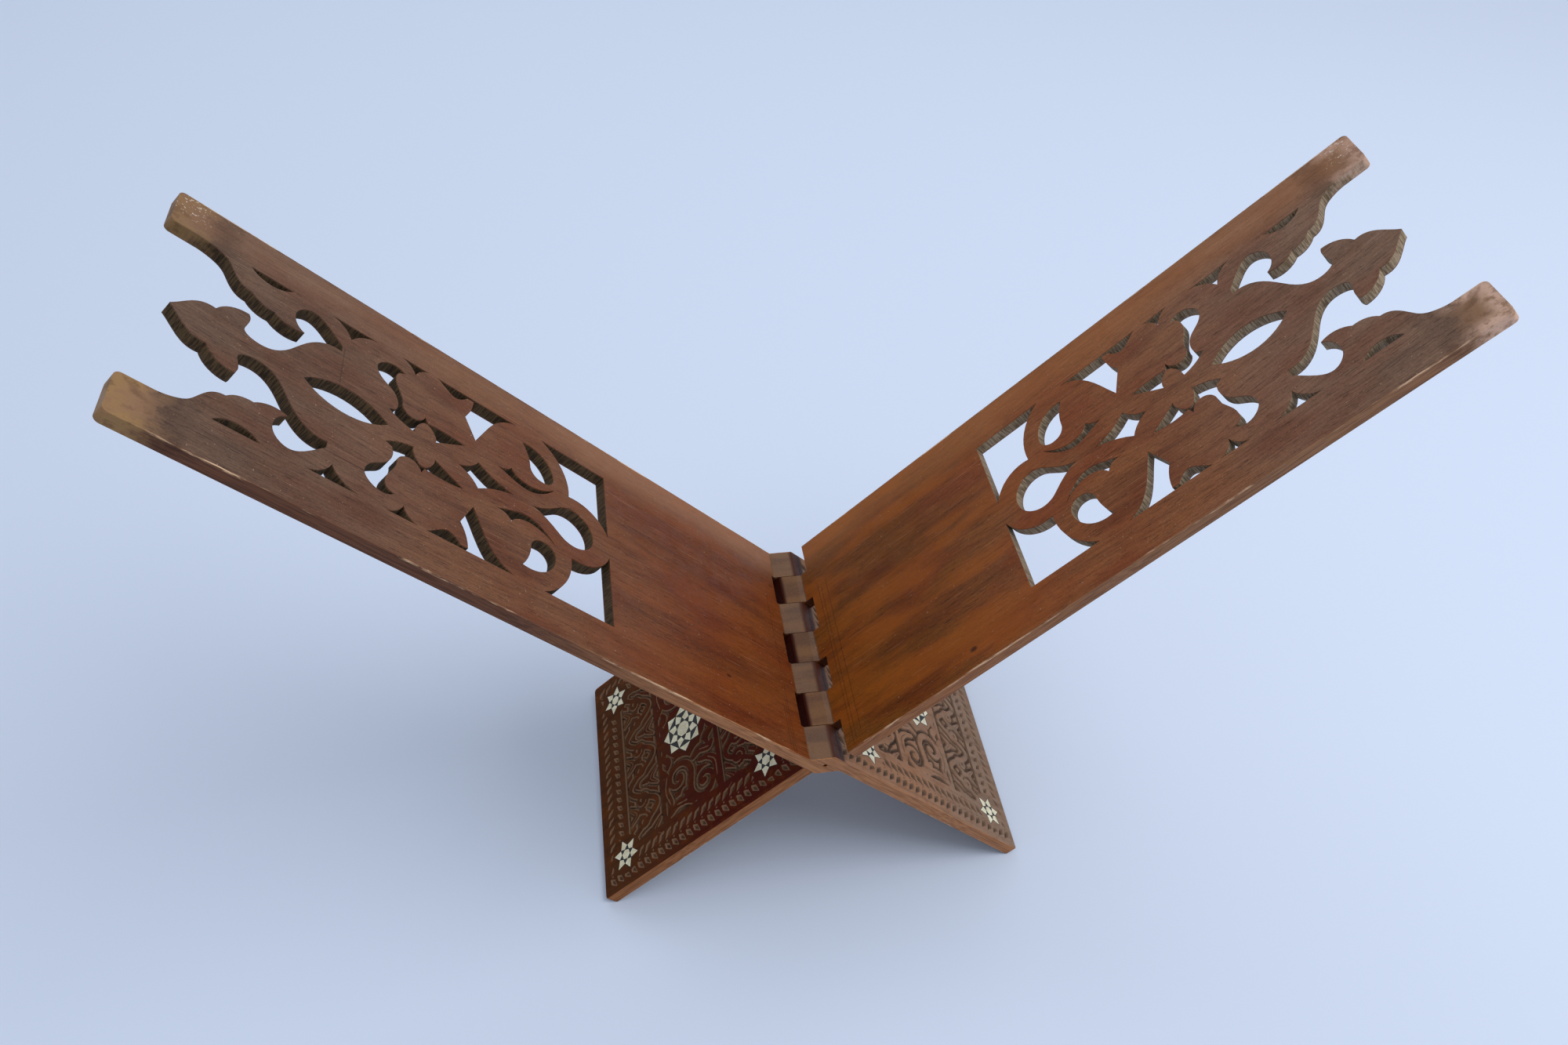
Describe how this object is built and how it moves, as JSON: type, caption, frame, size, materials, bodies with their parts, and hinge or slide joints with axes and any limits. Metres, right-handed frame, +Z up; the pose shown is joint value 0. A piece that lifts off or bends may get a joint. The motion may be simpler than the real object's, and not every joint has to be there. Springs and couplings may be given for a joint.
{
  "type": "quran stand",
  "caption": "Folding X-shaped book stand of two interlocked wooden leaves with pierced scrollwork boards and carved, shell-inlaid legs.",
  "frame": {"origin": "middle of the stand's footprint, on the surface it stands on, stand open", "axes": "+X across the open stand towards the board of leaf b, +Y along the hinge pin to the back, +Z up"},
  "size_m": [0.4854, 0.132, 0.33],
  "materials": {
    "walnut": "aged reddish-brown oiled hardwood, raw and dusty where sawn or carved",
    "nacre": "polished mother-of-pearl chips, cream with a soft sheen",
    "black_mastic": "black mastic filler, satin",
    "pin_steel": "darkened iron wire"
  },
  "bodies": {
    "leaf_a_body": {"leaf_a": "walnut", "hinge_pin": "pin_steel", "rosette_a_centre": "nacre", "rosette_a_kites": "nacre", "rosette_a_mastic": "black_mastic", "rosette_a_points": "nacre", "star_foot_back_a_centre": "nacre", "star_foot_back_a_kites": "nacre", "star_foot_back_a_mastic": "black_mastic", "star_foot_front_a_centre": "nacre", "star_foot_front_a_kites": "nacre", "star_foot_front_a_mastic": "black_mastic", "star_hinge_back_a_centre": "nacre", "star_hinge_back_a_kites": "nacre", "star_hinge_back_a_mastic": "black_mastic", "star_hinge_front_a_centre": "nacre", "star_hinge_front_a_kites": "nacre", "star_hinge_front_a_mastic": "black_mastic"},
    "leaf_b_body": {"leaf_b": "walnut", "rosette_b_centre": "nacre", "rosette_b_kites": "nacre", "rosette_b_mastic": "black_mastic", "rosette_b_points": "nacre", "star_foot_back_b_centre": "nacre", "star_foot_back_b_kites": "nacre", "star_foot_back_b_mastic": "black_mastic", "star_foot_front_b_centre": "nacre", "star_foot_front_b_kites": "nacre", "star_foot_front_b_mastic": "black_mastic", "star_hinge_back_b_centre": "nacre", "star_hinge_back_b_kites": "nacre", "star_hinge_back_b_mastic": "black_mastic", "star_hinge_front_b_centre": "nacre", "star_hinge_front_b_kites": "nacre", "star_hinge_front_b_mastic": "black_mastic"}
  },
  "joints": [
    {"name": "hinge_fold", "type": "hinge", "parent": "leaf_a_body", "child": "leaf_b_body", "pos_m": [0, 0, 0.09704], "axis": [0, -1, 0], "range_deg": [0, 91]}
  ]
}
